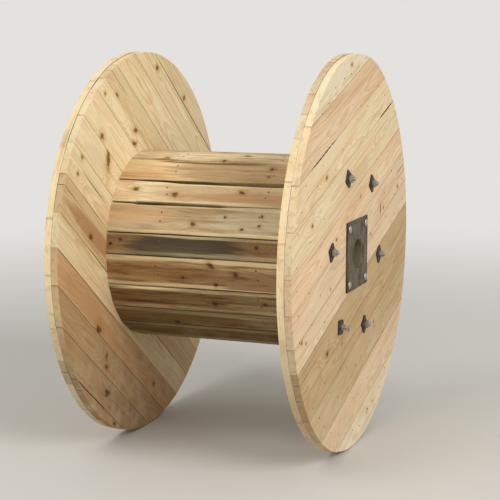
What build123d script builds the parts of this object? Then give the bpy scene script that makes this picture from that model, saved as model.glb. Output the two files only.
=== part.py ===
from build123d import *

import os
from itertools import accumulate, cycle
from math import radians, tan

# A wooden cable drum, lying on its two flange rims as it is stored.
# Millimetres. The spindle axis is X, the origin is the drum's centre on that axis, and +Z is up.
# Angles about the axis are counted from +Y towards +Z.

# Flanges: two crossed layers of planks each, nailed together and sawn round
flange_diameter = 1400
plank_thickness = 25
plank_gap = 1.5
narrowest_plank = 35
right_outer_angle = 17
right_inner_angle = 107
left_inner_angle = -37
left_outer_angle = 53
right_outer_widths = (118, 132, 138, 100, 112, 94, 114, 114, 132, 120, 132)
right_inner_widths = (108, 122, 96, 130, 112, 118, 126, 98, 92, 86, 117, 115, 80)
left_inner_widths = (38, 102, 100, 102, 106, 126, 114, 114, 126, 66, 92, 118, 102, 94)
left_outer_widths = (96, 124, 110, 102, 132, 90, 118, 128, 100, 112, 136)

# Barrel: a ring of flat staves, clamped between the flanges
winding_width = 760
barrel_diameter = 682
stave_thickness = 30
stave_joint = 0.6
first_joint_angle = 111.8
stave_widths = (109, 87, 101, 71, 102, 87, 76, 99, 85, 107, 93, 87, 103, 96, 104, 82, 100, 95, 91, 102, 91)

# Formers: plank discs inside the barrel, which the staves are nailed to
former_thickness = 38
former_spacing = 370
former_fit = 0.4
former_angle = 0
former_widths = (96, 106, 100, 112, 98)
former_hole_diameter = 130

# Tie rods, with a square washer and a hexagon nut on each end
rod_count = 6
rod_diameter = 16
rod_stave_clearance = 8.5
rod_angle = -8.8
rod_stub = 8
rod_hole_clearance = 1
washer_side = 50
washer_thickness = 5
right_washer_turns = (45, 5, 40, 38, 33, 20)
left_washer_turns = (12, 50, 30, 3, 66, 41)
nut_flats = 24
nut_height = 14
right_nut_turns = (10, 35, 22, 48, 5, 28)
left_nut_turns = (31, 14, 52, 8, 40, 19)

# Hubs: a square steel plate with a welded bush, held by four bolts through the flange
hub_plate_side = 245
hub_plate_thickness = 6
bush_diameter = 114
bush_wall = 4.5
bush_clearance = 0.5
hub_bolt_spacing = 195
hub_bolt_diameter = 12
hub_bolt_clearance = 0.5
hub_bolt_stub = 4
hub_head_diameter = 28
hub_head_height = 6
hub_head_taper = 45
hub_nut_flats = 19
hub_nut_height = 10

# Every nut clears its thread by this much
thread_fit = 0.15

# Sizes that follow from those above
flange_radius = flange_diameter / 2
inner_face = winding_width / 2
layer_face = inner_face + plank_thickness
outer_face = layer_face + plank_thickness
hub_face = outer_face + hub_plate_thickness
stave_inner_radius = barrel_diameter / 2 - stave_thickness
former_radius = stave_inner_radius - former_fit
rod_radius = rod_diameter / 2
rod_hole_radius = rod_radius + rod_hole_clearance
rod_circle_radius = stave_inner_radius - rod_stave_clearance - rod_radius
bush_radius = bush_diameter / 2
hub_bolt_radius = hub_bolt_diameter / 2
hub_bolt_hole_radius = hub_bolt_radius + hub_bolt_clearance
rod_angles = [rod_angle + number * 360 / rod_count for number in range(rod_count)]


def plank_joints(radius, widths):
    """The joints between planks laid side by side over a disc, as offsets from its centre."""
    joints = []
    edge = -radius
    for width in cycle(widths):
        edge += width
        if edge > radius - narrowest_plank:
            return joints
        joints.append(edge)


def plank_disc(radius, angle, widths, hole_radius):
    """The face of a disc of planks side by side, running at an angle, with a hole in its middle."""
    with BuildSketch() as face:
        Circle(radius)
        Circle(hole_radius, mode=Mode.SUBTRACT)
        with Locations(Rotation(0, 0, angle)):
            with Locations([(0, joint) for joint in plank_joints(radius, widths)]):
                Rectangle(2 * radius, plank_gap, mode=Mode.SUBTRACT)
    return face.sketch


def flange_layer(start, angle, widths):
    """One layer of a flange, bored for the bush, the tie rods and the hub's bolts."""
    with BuildPart() as layer:
        with BuildSketch(Plane.YZ.offset(start)):
            add(plank_disc(flange_radius, angle, widths, bush_radius + bush_clearance))
            with PolarLocations(rod_circle_radius, rod_count, start_angle=rod_angle):
                Circle(rod_hole_radius, mode=Mode.SUBTRACT)
            with GridLocations(hub_bolt_spacing, hub_bolt_spacing, 2, 2):
                Circle(hub_bolt_hole_radius, mode=Mode.SUBTRACT)
        extrude(amount=plank_thickness)
    return layer


def former(centre):
    """A plank disc inside the barrel, notched at its rim where the tie rods pass."""
    notch_floor = rod_circle_radius - rod_hole_radius
    with BuildPart() as disc:
        with BuildSketch(Plane.YZ.offset(centre)):
            add(plank_disc(former_radius, former_angle, former_widths, former_hole_diameter / 2))
            with PolarLocations(notch_floor, rod_count, start_angle=rod_angle):
                Rectangle(
                    former_radius - notch_floor,
                    2 * rod_hole_radius,
                    align=(Align.MIN, Align.CENTER),
                    mode=Mode.SUBTRACT,
                )
        extrude(amount=former_thickness / 2, both=True)
    return disc


def stave(middle_angle, width):
    """One flat stave, with its broad faces square to the radius through its middle."""
    with BuildPart() as board:
        with BuildSketch(Plane.YZ):
            with PolarLocations(stave_inner_radius, 1, start_angle=middle_angle):
                Rectangle(stave_thickness, width, align=(Align.MIN, Align.CENTER))
        extrude(amount=inner_face, both=True)
    return board


def tie_rod(angle):
    """One rod, which stands out beyond the nuts on both flanges."""
    reach = outer_face + washer_thickness + nut_height + rod_stub
    with BuildPart() as rod:
        with BuildSketch(Plane.YZ):
            with PolarLocations(rod_circle_radius, 1, start_angle=angle):
                Circle(rod_radius)
        extrude(amount=reach, both=True)
    return rod


def square_washer():
    """A square plate washer, standing on XY."""
    with BuildPart() as washer:
        with BuildSketch():
            Rectangle(washer_side, washer_side)
            Circle(rod_hole_radius, mode=Mode.SUBTRACT)
        extrude(amount=washer_thickness)
    return washer.part


def hexagon_nut(thread_radius, flats, height):
    """A hexagon nut, standing on XY."""
    with BuildPart() as nut:
        with BuildSketch():
            RegularPolygon(flats / 2, 6, major_radius=False)
            Circle(thread_radius + thread_fit, mode=Mode.SUBTRACT)
        extrude(amount=height)
    return nut.part


def hub_bolt():
    """A bolt with its round, tapered head standing on XY and its shank below."""
    shank = hub_face - inner_face + hub_nut_height + hub_bolt_stub
    with BuildPart() as bolt:
        with BuildSketch():
            Circle(hub_head_diameter / 2)
        extrude(amount=hub_head_height, taper=hub_head_taper)
        with BuildSketch():
            Circle(hub_bolt_radius)
        extrude(amount=-shank)
    return bolt.part


def hub_plate():
    """The right hub: a square plate on the flange's outer face, and the bush through the flange."""
    with BuildPart() as plate:
        with BuildSketch(Plane.YZ.offset(outer_face)):
            Rectangle(hub_plate_side, hub_plate_side)
            with GridLocations(hub_bolt_spacing, hub_bolt_spacing, 2, 2):
                Circle(hub_bolt_hole_radius, mode=Mode.SUBTRACT)
        extrude(amount=hub_plate_thickness)
        with BuildSketch(Plane.YZ.offset(inner_face)):
            Circle(bush_radius)
        extrude(amount=hub_face - inner_face)
        with BuildSketch(Plane.YZ.offset(inner_face)):
            Circle(bush_radius - bush_wall)
        extrude(amount=hub_face - inner_face, mode=Mode.SUBTRACT)
    return plate


def on_rods(piece, face, turns):
    """A copy of a piece on the right end of each tie rod, each with its own turn about the rod."""
    with BuildPart() as copies:
        for angle, turn in zip(rod_angles, turns):
            with Locations(Plane.YZ.offset(face)):
                with PolarLocations(rod_circle_radius, 1, start_angle=angle):
                    with Locations(Rotation(0, 0, turn)):
                        add(piece)
    return copies


def on_hub_bolts(piece, plane):
    """A copy of a piece at each corner of the hub, standing on the given plane."""
    with BuildPart() as copies:
        with Locations(plane):
            with GridLocations(hub_bolt_spacing, hub_bolt_spacing, 2, 2):
                add(piece)
    return copies


def to_left_end(right):
    """The same pieces on the drum's other end."""
    with BuildPart() as left:
        mirror(right.part, about=Plane.YZ)
    return left


def save(piece, label):
    """Labels a finished piece and writes it under that name."""
    piece.part.label = label
    export_step(piece.part, f"parts/{label}.step")


os.makedirs("parts", exist_ok=True)

# The flanges' layers
save(flange_layer(inner_face, right_inner_angle, right_inner_widths), "right_inner_planks")
save(flange_layer(layer_face, right_outer_angle, right_outer_widths), "right_outer_planks")
save(flange_layer(-layer_face, left_inner_angle, left_inner_widths), "left_inner_planks")
save(flange_layer(-outer_face, left_outer_angle, left_outer_widths), "left_outer_planks")

# The staves, round the barrel from the first joint, each filling its share of the circle
degrees_per_width = 360 / sum(stave_widths)
for number, (width, passed) in enumerate(zip(stave_widths, accumulate(stave_widths)), start=1):
    span = width * degrees_per_width
    middle_angle = first_joint_angle + passed * degrees_per_width - span / 2
    board_width = 2 * stave_inner_radius * tan(radians(span / 2)) - stave_joint
    save(stave(middle_angle, board_width), f"stave_{number:02d}")

# The formers
save(former(former_spacing / 2), "right_former_planks")
save(former(-former_spacing / 2), "left_former_planks")

# The tie rods, their washers and their nuts
for number, angle in enumerate(rod_angles, start=1):
    save(tie_rod(angle), f"tie_rod_{number}")
washer = square_washer()
tie_nut = hexagon_nut(rod_radius, nut_flats, nut_height)
washer_face = outer_face + washer_thickness
save(on_rods(washer, outer_face, right_washer_turns), "right_washers")
save(on_rods(tie_nut, washer_face, right_nut_turns), "right_tie_nuts")
save(to_left_end(on_rods(washer, outer_face, left_washer_turns)), "left_washers")
save(to_left_end(on_rods(tie_nut, washer_face, left_nut_turns)), "left_tie_nuts")

# The hubs, their bolts and their nuts
right_hub_plate = hub_plate()
right_hub_bolts = on_hub_bolts(hub_bolt(), Plane.YZ.offset(hub_face))
hub_nut = hexagon_nut(hub_bolt_radius, hub_nut_flats, hub_nut_height)
right_hub_nuts = on_hub_bolts(hub_nut, Plane((inner_face, 0, 0), x_dir=(0, 1, 0), z_dir=(-1, 0, 0)))
save(right_hub_plate, "right_hub_plate")
save(right_hub_bolts, "right_hub_bolts")
save(right_hub_nuts, "right_hub_nuts")
save(to_left_end(right_hub_plate), "left_hub_plate")
save(to_left_end(right_hub_bolts), "left_hub_bolts")
save(to_left_end(right_hub_nuts), "left_hub_nuts")
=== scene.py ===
import math
import random

import bmesh
import bpy
import numpy as np
from mathutils import Matrix, Vector, noise


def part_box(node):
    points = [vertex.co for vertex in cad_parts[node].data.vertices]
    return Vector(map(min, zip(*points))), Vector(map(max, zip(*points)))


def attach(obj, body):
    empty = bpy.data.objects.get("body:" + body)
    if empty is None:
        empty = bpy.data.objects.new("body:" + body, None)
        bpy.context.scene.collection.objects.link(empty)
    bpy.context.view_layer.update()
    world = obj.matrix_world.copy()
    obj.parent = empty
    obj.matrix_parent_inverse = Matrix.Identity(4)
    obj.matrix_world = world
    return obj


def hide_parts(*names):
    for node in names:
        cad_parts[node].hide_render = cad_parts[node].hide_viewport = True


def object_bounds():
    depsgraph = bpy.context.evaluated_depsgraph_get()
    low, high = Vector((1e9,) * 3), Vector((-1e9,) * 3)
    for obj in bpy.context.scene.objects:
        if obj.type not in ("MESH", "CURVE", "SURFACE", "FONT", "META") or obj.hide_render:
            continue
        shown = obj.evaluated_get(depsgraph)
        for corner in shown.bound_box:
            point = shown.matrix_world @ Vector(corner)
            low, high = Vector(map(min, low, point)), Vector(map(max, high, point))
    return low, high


# The looks of a wooden cable drum, lying on its two flange rims.
# Metres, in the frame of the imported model: the spindle axis is X, +Z is up, and the origin is the
# drum's centre. Angles about the axis are counted from +Y towards +Z.

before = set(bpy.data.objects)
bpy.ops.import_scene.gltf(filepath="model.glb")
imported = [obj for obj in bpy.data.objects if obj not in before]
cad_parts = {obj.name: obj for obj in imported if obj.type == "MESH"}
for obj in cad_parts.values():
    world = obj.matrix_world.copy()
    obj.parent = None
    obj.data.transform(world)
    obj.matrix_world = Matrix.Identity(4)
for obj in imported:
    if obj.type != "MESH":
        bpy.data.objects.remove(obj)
cad_low, cad_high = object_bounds()

MM = 0.001
floor_height = cad_low.z
chooser = random.Random(11)

# Flanges: which way each layer's planks run, in degrees, and which way its open face looks
plank_angles = {
    "right_outer_planks": 17,
    "right_inner_planks": 107,
    "left_inner_planks": -37,
    "left_outer_planks": 53,
}
open_sides = {
    "right_outer_planks": 1,
    "right_inner_planks": -1,
    "left_inner_planks": 1,
    "left_outer_planks": -1,
}
bush_hole_radius = 57.5 * MM
edge_step = 40 * MM
rim_step = 12 * MM
plank_arris = 0.6 * MM
plank_edge_wander = 0.5 * MM
rim_wander = 1.0 * MM
plank_end_setback = 3.2 * MM
plank_sink = 0.7 * MM
rim_paleness = 0.6
end_grain_loss = 0.15
# Below this height, and fully over this drop, the rim darkens as end grain does: painted shade towards the
# floor
rim_shade_height = -50 * MM
rim_shade_drop = 350 * MM
shortest_half_length = 100 * MM

# How far a plank may have swelled into each of its joints, and how an open joint begins and ends
least_swelling = 0.2 * MM
most_swelling = 0.7 * MM
open_joint_search = 12 * MM
open_joint_taper = 60 * MM

# Barrel
stave_numbers = range(1, 22)
stave_stations = 64
stave_edge_wander = 0.9 * MM
joint_stray = 2.2 * MM
stave_thickness = 30 * MM
joint_throat = 2.5 * MM
# Inside the joints a board keeps only this share of its tone: painted shade down the joints' sides
tone_left_in_joint = 0.1
least_wane = 1.5 * MM

# Pine: its growth rings lie about 5 mm apart, as in fast-grown trees, and give way round a knot
ring_spacing = 5.2 * MM
ring_waver = 34 * MM
knot_push = 13 * MM
knots_to_a_board = 6
split_waver = 2.6
saw_mark_spacing = 14 * MM
saw_mark_drift = 34 * MM
clean_height = -200 * MM
dusty_height = -560 * MM
no_place = 99.0
stain_attributes = (("stain_place", "stain_tone"), ("second_stain", "second_tone"))

# Steel: each bore here is a radius, and the threads, nuts and bolts are those of M16 rods and M12 bolts
rod_numbers = range(1, 7)
rod_pitch = 2 * MM
rod_thread_length = 40 * MM
rod_shank_relief = 0.5 * MM
rod_nut_bore = 8.2 * MM
rod_nut_flats = 24 * MM
washer_side = 50 * MM
washer_bore = 9 * MM
bolt_radius = 6 * MM
bolt_pitch = 1.75 * MM
bolt_head_radius = 14 * MM
bolt_head_height = 6 * MM
bolt_nut_bore = 6.2 * MM
bolt_nut_flats = 19 * MM
plate_thickness = 6 * MM
bush_radius = 57 * MM
bore_radius = 52.5 * MM
weld_bead = 4.5 * MM

# Nails: the flange's are in rings, each of a radius in millimetres and a number of nails, and a
# stave's lie across it at shares of its half width
nail_radius = 3.4 * MM
nail_depth = 1.5 * MM
flange_nail_rings = ((642, 46), (520, 36), (405, 28))
stave_nail_shares = (-0.45, 0.2)

# Boards' own tones, as sawn pine shows them in even light
pine_tones = {
    "pale": "#e9dcbf",
    "straw": "#ebd7b0",
    "lemon": "#f7e6bb",
    "yellow": "#f0dbad",
    "sand": "#ead7ae",
    "cream": "#e8cfad",
    "pink": "#ebcfaa",
    "honey": "#e6ca9c",
    "ochre": "#c8b18a",
    "wheat": "#d6bd8f",
    "olive": "#c6aa7f",
    "tan": "#cda778",
    "fawn": "#b6976d",
    "rust": "#b5875a",
    "oak": "#a98c66",
    "hazel": "#a8936a",
    "brown": "#8f7148",
    "sienna": "#9f7743",
    "umber": "#927545",
    "bark": "#735823",
    "peat": "#68501d",
    "charcoal": "#473b27",
    "grey": "#cfbf9d",
}

# Each layer's planks, from the lowest offset up
plank_tones = {
    "right_outer_planks": (
        "pale", "cream", "ochre", "olive", "olive", "cream", "cream", "pink", "straw", "straw",
        "pink", "pale",
    ),
    "right_inner_planks": (
        "straw", "pale", "cream", "straw", "pink", "straw", "cream", "straw", "pink", "pale",
        "yellow", "pink", "straw",
    ),
    "left_inner_planks": (
        "oak", "oak", "fawn", "tan", "sand", "wheat", "lemon", "lemon", "lemon", "lemon",
        "yellow", "lemon", "lemon", "sand",
    ),
    "left_outer_planks": (
        "straw", "cream", "ochre", "honey", "pink", "straw", "cream", "pale", "ochre", "pink",
        "straw", "cream", "honey",
    ),
}

# Marks that stand out on a layer, in millimetres along its planks and across them from the centre.
# A knot is (along, across, radius, stretch, turn in degrees).
# A stain is (along, across, half length, half width, tone, strength).
# A split, a shaded edge along an open joint (a dark line of painted shade) or an open joint is (from, to,
# across, width).
plank_marks = {
    "right_outer_planks": {
        "knots": (
            (374, 12, 5, 1, 0), (193, -12, 5, 1, 0), (-198, 144, 6, 1.4, 0), (-156, -222, 8, 1, 0),
            (-305, 12, 5, 1, 0), (-628, -20, 7, 1, 0), (140, 30, 8, 1.5, 60), (-590, -40, 5, 1, 0),
            (334, 22, 5, 4, 80),
        ),
        "stains": (
            (86, 262, 150, 30, "tan", 0.35), (30, 180, 120, 30, "tan", 0.3),
            (-250, 60, 160, 26, "tan", 0.28), (150, -300, 260, 22, "tan", 0.25),
            (-500, 540, 120, 34, "tan", 0.25),
        ),
        "splits": ((570, 710, 62, 1.6),),
        # Two dark lines of painted shade, along the edges of the widest open joints
        "shaded_joint_edges": ((-400, -110, 472, 1.5), (400, 600, 352, 1.5)),
        "open_joints": (
            (-400, -90, 474, 4.0), (390, 600, 354, 4.0), (-640, -120, -98, 2.2),
            (-250, 420, -450, 1.8), (-380, 300, -312, 1.6),
        ),
    },
    "left_inner_planks": {
        "knots": (
            (-536, 118, 12, 1.3, 0), (-448, 77, 14, 2.8, 125), (-320, 281, 10, 1.8, 30),
            (-302, 238, 9, 2.2, 35), (-621, -20, 8, 1.2, 0), (-616, -84, 7, 1, 0),
            (-172, -448, 14, 1.5, 0), (19, -607, 13, 1.8, 10), (-412, -211, 9, 1.4, 0),
            (-520, 300, 7, 1.4, 0), (-600, 250, 6, 1.2, 0), (-60, -500, 9, 1, 0),
        ),
        "stains": (
            (-380, -195, 230, 30, "rust", 0.9), (-330, -410, 170, 40, "rust", 0.45),
            (250, 650, 120, 30, "pink", 0.6), (-540, 30, 90, 30, "cream", 0.5),
            (-250, -600, 200, 30, "rust", 0.3),
        ),
        "splits": ((-560, -380, -60, 1.2),),
        "open_joints": (
            (-340, 330, 606, 3.2), (-640, -100, -358, 2.2), (-560, -330, -126, 1.8),
            (-400, 500, -252, 1.8), (-300, 60, -662, 3.4),
        ),
    },
    "right_inner_planks": {},
    "left_outer_planks": {},
}

# Staves that stand out, by number. Places are in millimetres along X, and across the stave from its
# middle towards the next one. Sap gives how pale the two edges are.
stave_tones = (
    "honey", "straw", "ochre", "brown", "fawn", "umber", "bark", "peat", "umber", "brown", "umber",
    "brown", "oak", "ochre", "olive", "oak", "ochre", "olive", "ochre", "grey", "straw",
)
stave_marks = {
    21: {"sap": (0.5, 0.9), "weathering": 0.45},
    1: {
        "sap": (0.3, 0.2),
        "knots": ((173, -24, 7, 1.2, 0), (173, 20, 6, 1, 0)),
        # Its second stain, dark peat along the edge next to stave 21, is painted shade of that open joint
        "stains": ((150, -4, 300, 66, "fawn", 0.85), (-40, -50, 200, 12, "peat", 0.95)),
        "weathering": 0.3,
    },
    2: {
        "sap": (0.9, 0.6),
        "knots": ((-304, -8, 9, 1.5, 0), (-150, 8, 9, 1.7, 0), (96, -10, 7, 1.5, 0)),
        "stains": ((70, 0, 290, 60, "fawn", 0.7), (190, 14, 260, 19, "rust", 0.7)),
        "weathering": 0.15,
    },
    3: {
        "sap": (0.3, 0.9),
        "knots": (
            (-59, 13, 8, 1.3, 0), (55, -15, 5, 1, 0), (120, 24, 5, 1.4, 0),
            (188, -24, 5, 1, 0), (184, 10, 5, 1, 0),
        ),
        "stains": ((-270, -12, 170, 24, "tan", 0.7), (210, -6, 210, 50, "grey", 0.8)),
        "weathering": 0.3,
    },
    4: {
        "sap": (0.5, 0.3),
        "knots": ((-364, 4, 7, 1, 0), (-328, -13, 5, 1, 0), (180, -10, 6, 1, 0)),
        "stains": ((-85, 0, 208, 66, "charcoal", 0.95),),
        "weathering": 0.2,
    },
    5: {
        "sap": (0.85, 0.9),
        "knots": ((12, -36, 9, 1.7, 35), (105, -8, 8, 1.3, 0), (30, 32, 7, 1, 90), (-90, 14, 6, 1, 0)),
        "stains": ((-205, 0, 230, 32, "sienna", 0.85), (250, 0, 190, 60, "fawn", 0.85)),
        "weathering": 0.6,
    },
    6: {
        "sap": (0.95, 0.15),
        "knots": ((13, 8, 9, 1.2, 0), (202, -4, 6, 1.3, 0)),
        "stains": ((300, 0, 230, 60, "hazel", 0.85),),
        "weathering": 0.8,
    },
    7: {"sap": (0.3, 0.1), "stains": ((330, 0, 200, 60, "hazel", 0.4),), "weathering": 0.35},
    8: {"sap": (0.15, 0.1), "weathering": 0.35},
}

# How wide some joints stand open at the outside, in millimetres at places along X, by the stave before
joint_openings = {
    21: ((-380, 5), (-240, 8), (-190, 17), (90, 16), (150, 3), (380, 2)),
    1: ((-380, 4), (-240, 5), (-90, 11), (240, 14), (380, 11)),
    2: ((-380, 5), (-300, 6), (-285, 13), (20, 11), (75, 1), (380, 1)),
    3: ((-380, 2), (-100, 3), (60, 0.8), (170, 2), (380, 1)),
    4: ((-380, 1), (-120, 2.5), (100, 0.8), (380, 1.5)),
    5: ((-380, 3), (0, 4), (200, 2.5), (380, 3)),
    6: ((-380, 2), (0, 1), (380, 2)),
    7: ((-380, 3), (-100, 1.5), (380, 3)),
}


def linear(code):
    """An sRGB hex colour as linear red, green, blue and alpha."""
    channels = [int(code[at:at + 2], 16) / 255 for at in (1, 3, 5)]
    return [c / 12.92 if c <= 0.04045 else ((c + 0.055) / 1.055) ** 2.4 for c in channels] + [1.0]


def smooth_step(value, start, end):
    """From 0 at start to 1 at end, with no corner."""
    share = min(1.0, max(0.0, (value - start) / (end - start)))
    return share * share * (3 - 2 * share)


def new_piece(name, mesh, material, slot, *nodes):
    """Adds a mesh as a piece of the drum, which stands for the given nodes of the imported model."""
    piece = bpy.data.objects.new(name, mesh)
    bpy.context.scene.collection.objects.link(piece)
    piece.data.materials.append(material)
    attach(piece, "root")
    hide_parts(*nodes)


def solids_of(node):
    """The corners of each solid in a node, as arrays of points, in the same order on every run."""
    welded = bmesh.new()
    welded.from_mesh(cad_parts[node].data)
    bmesh.ops.remove_doubles(welded, verts=welded.verts, dist=1e-6)
    unseen = dict.fromkeys(welded.verts)
    solids = []
    while unseen:
        reached = [unseen.popitem()[0]]
        for vert in reached:
            for edge in vert.link_edges:
                other = edge.other_vert(vert)
                if other in unseen:
                    del unseen[other]
                    reached.append(other)
        solids.append(np.array([vert.co for vert in reached]))
    welded.free()
    return solids


def bridge(shape, near, far):
    """Faces between two rings of as many corners."""
    for at in range(len(near)):
        after = (at + 1) % len(near)
        shape.faces.new((near[at], near[after], far[after], far[at]))


def finished_mesh(name, shape, smooth=False):
    """A bmesh as a mesh with its faces turned outwards."""
    bmesh.ops.recalc_face_normals(shape, faces=shape.faces)
    for face in shape.faces:
        face.smooth = smooth
    mesh = bpy.data.meshes.new(name)
    shape.to_mesh(mesh)
    shape.free()
    return mesh


def joined_mesh(name, meshes):
    """Several meshes as one, with their attributes."""
    objects = [bpy.data.objects.new(mesh.name, mesh) for mesh in meshes]
    for piece in objects:
        bpy.context.scene.collection.objects.link(piece)
    with bpy.context.temp_override(active_object=objects[0], selected_editable_objects=objects):
        bpy.ops.object.join()
    mesh = objects[0].data
    bpy.data.objects.remove(objects[0])
    mesh.name = name
    return mesh


# Materials

def add_node(tree, kind, inputs=None, **settings):
    """Adds a node. An input is a value, a colour's code, a socket, or a node for its first output."""
    node = tree.nodes.new(kind)
    for name, value in settings.items():
        setattr(node, name, value)
    for name, value in (inputs or {}).items():
        named = [socket for socket in node.inputs if socket.enabled and socket.name == name]
        socket = named[0] if named else node.inputs[name]
        if isinstance(value, bpy.types.Node):
            value = next(output for output in value.outputs if output.enabled)
        if isinstance(value, bpy.types.NodeSocket):
            tree.links.new(value, socket)
        else:
            socket.default_value = linear(value) if isinstance(value, str) else value
    return node


def made_material(recipe):
    """A node material with its recipe's name. The recipe gives its surface, from the tree and the place."""
    material = bpy.data.materials.new(recipe.__name__)
    material.use_nodes = True
    tree = material.node_tree
    tree.nodes.clear()
    place = add_node(tree, "ShaderNodeTexCoord").outputs["Object"]
    add_node(tree, "ShaderNodeOutputMaterial", {"Surface": recipe(tree, place)})
    return material


def grain_noise(tree, place, long, broad, detail=2.0):
    """Noise drawn out along the grain: its marks' usual length and breadth are in millimetres."""
    shrink = (1 / (long * MM), 1 / (broad * MM), 1 / (broad * MM))
    stretched = add_node(tree, "ShaderNodeVectorMath", {0: place, 1: shrink}, operation="MULTIPLY")
    return add_node(tree, "ShaderNodeTexNoise", {"Vector": stretched, "Scale": 1.0, "Detail": detail})


def painted(tree, colour, coats):
    """A colour under several coats. A coat is a mask, a way to blend and its own colour. It may go on
    with the stretch of the mask over which it comes in smoothly, the most that it covers, and any
    other masks that thin it out."""
    for mask, blend, coat, *extent in coats:
        if extent:
            start, end, most, *others = extent
            inputs = {"Value": mask, "From Min": start, "From Max": end, "To Max": most}
            mask = add_node(tree, "ShaderNodeMapRange", inputs, interpolation_type="SMOOTHSTEP")
            for other in others:
                mask = add_node(tree, "ShaderNodeMath", {0: mask, 1: other}, operation="MULTIPLY")
        inputs = {"Factor": mask, "A": colour, "B": coat}
        colour = add_node(tree, "ShaderNodeMix", inputs, data_type="RGBA", blend_type=blend)
    return colour


def knot_masks(tree, ragged):
    """A board's knots: where their hearts and their halos are, and how far they bend the rings."""
    masks = {"heart": 0.0, "halo": 0.0, "bend": 0.0}
    for number in range(1, knots_to_a_board + 1):
        spot = add_node(tree, "ShaderNodeAttribute", attribute_name=f"knot_{number}").outputs["Vector"]
        apart = add_node(tree, "ShaderNodeVectorMath", {0: spot}, operation="LENGTH")
        near = add_node(tree, "ShaderNodeMath", {0: ragged, 1: 1.7, 2: apart}, operation="MULTIPLY_ADD")
        drawn = add_node(
            tree, "ShaderNodeVectorMath", {0: spot, 1: (0.3, 0.8, 0)}, operation="MULTIPLY"
        )
        far = add_node(tree, "ShaderNodeVectorMath", {0: drawn}, operation="LENGTH")
        for name, reach, start, end, most, joined in (
            ("heart", near, 2.2, 1.3, 1.0, "MAXIMUM"),
            ("halo", near, 4.0, 1.6, 1.0, "MAXIMUM"),
            ("bend", far, 3.5, 0.3, knot_push, "ADD"),
        ):
            inputs = {"Value": reach, "From Min": start, "From Max": end, "To Max": most}
            mask = add_node(tree, "ShaderNodeMapRange", inputs, interpolation_type="SMOOTHSTEP")
            masks[name] = add_node(tree, "ShaderNodeMath", {0: masks[name], 1: mask}, operation=joined)
    return masks["heart"], masks["halo"], masks["bend"]


def ring_mask(tree, log_place, bend):
    """The dark late wood of the growth rings, round the pith and wavering along the log."""
    ring_place = add_node(tree, "ShaderNodeAttribute", attribute_name="ring_place").outputs["Vector"]
    waver = grain_noise(tree, log_place, 360, 130, 1.0).outputs["Color"]
    swayed = add_node(
        tree,
        "ShaderNodeVectorMath",
        {0: waver, 1: (0, ring_waver, ring_waver), 2: ring_place},
        operation="MULTIPLY_ADD",
    )
    from_pith = add_node(tree, "ShaderNodeVectorMath", {0: swayed}, operation="LENGTH")
    radius = add_node(tree, "ShaderNodeMath", {0: from_pith, 1: bend}, operation="ADD")
    rings = add_node(tree, "ShaderNodeMath", {0: radius, 1: ring_spacing}, operation="DIVIDE")
    turn = add_node(tree, "ShaderNodeMath", {0: rings}, operation="FRACT")
    rise, fall = (
        add_node(
            tree,
            "ShaderNodeMapRange",
            {"Value": turn, "From Min": start, "From Max": end},
            interpolation_type="SMOOTHSTEP",
        )
        for start, end in ((0.2, 0.85), (1.0, 0.88))
    )
    return add_node(tree, "ShaderNodeMath", {0: rise, 1: fall}, operation="MULTIPLY")


def stain_coats(tree, streak):
    """A board's two stains, or stretches of heartwood, with ragged ends."""
    coats = []
    for place_name, tone_name in stain_attributes:
        where = add_node(tree, "ShaderNodeAttribute", attribute_name=place_name).outputs["Vector"]
        painting = add_node(tree, "ShaderNodeAttribute", attribute_name=tone_name).outputs
        apart = add_node(tree, "ShaderNodeVectorMath", {0: where}, operation="LENGTH")
        torn = add_node(tree, "ShaderNodeMath", {0: streak, 1: 1.3, 2: apart}, operation="MULTIPLY_ADD")
        coats.append((torn, "MIX", painting["Color"], 1.88, 1.48, 1.0, painting["Alpha"]))
    return coats


def edge_insets(tree, place, half_width, swings):
    """How far a point lies in from the board's edge, and from the wavy edge that the bark left."""
    across = add_node(tree, "ShaderNodeSeparateXYZ", {0: place}).outputs["Y"]
    aside = add_node(tree, "ShaderNodeMath", {0: across}, operation="ABSOLUTE")
    inset = add_node(tree, "ShaderNodeMath", {0: half_width, 1: aside}, operation="SUBTRACT")
    waney = inset
    for pattern, swing in swings:
        inputs = {0: pattern, 1: swing, 2: waney}
        waney = add_node(tree, "ShaderNodeMath", inputs, operation="MULTIPLY_ADD")
    return inset, waney


def dust_masks(tree, drum_place):
    """Dust and dried mud: the blotches that they lie in, and how they grow towards the ground."""
    mottle = add_node(
        tree, "ShaderNodeTexNoise", {"Vector": drum_place, "Scale": 1 / (70 * MM), "Detail": 6.0}
    )
    height = add_node(tree, "ShaderNodeSeparateXYZ", {0: drum_place}).outputs["Z"]
    near_ground = add_node(
        tree, "ShaderNodeMapRange", {"Value": height, "From Min": clean_height, "From Max": dusty_height}
    )
    return mottle, near_ground


def split_distance(tree, split_place, ragged):
    """How far a point lies from a split, which wavers along the grain."""
    bent = add_node(
        tree,
        "ShaderNodeVectorMath",
        {0: ragged.outputs["Color"], 1: (0, split_waver, 0), 2: split_place},
        operation="MULTIPLY_ADD",
    )
    centred = add_node(
        tree, "ShaderNodeVectorMath", {0: bent, 1: (0, split_waver / 2, 0)}, operation="SUBTRACT"
    )
    return add_node(tree, "ShaderNodeVectorMath", {0: centred}, operation="LENGTH")


def saw_mark_wave(tree, log_place):
    """The marks of the band saw, across the board. Real ones are finer, and these are drawn coarser so
    that they show."""
    drift = grain_noise(tree, log_place, 80, 120, 1.0)
    run = add_node(tree, "ShaderNodeSeparateXYZ", {0: log_place}).outputs["X"]
    shifted = add_node(
        tree, "ShaderNodeMath", {0: drift, 1: saw_mark_drift, 2: run}, operation="MULTIPLY_ADD"
    )
    teeth = add_node(
        tree, "ShaderNodeMath", {0: shifted, 1: 2 * math.pi / saw_mark_spacing}, operation="MULTIPLY"
    )
    return add_node(tree, "ShaderNodeMath", {0: teeth}, operation="SINE")


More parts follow.
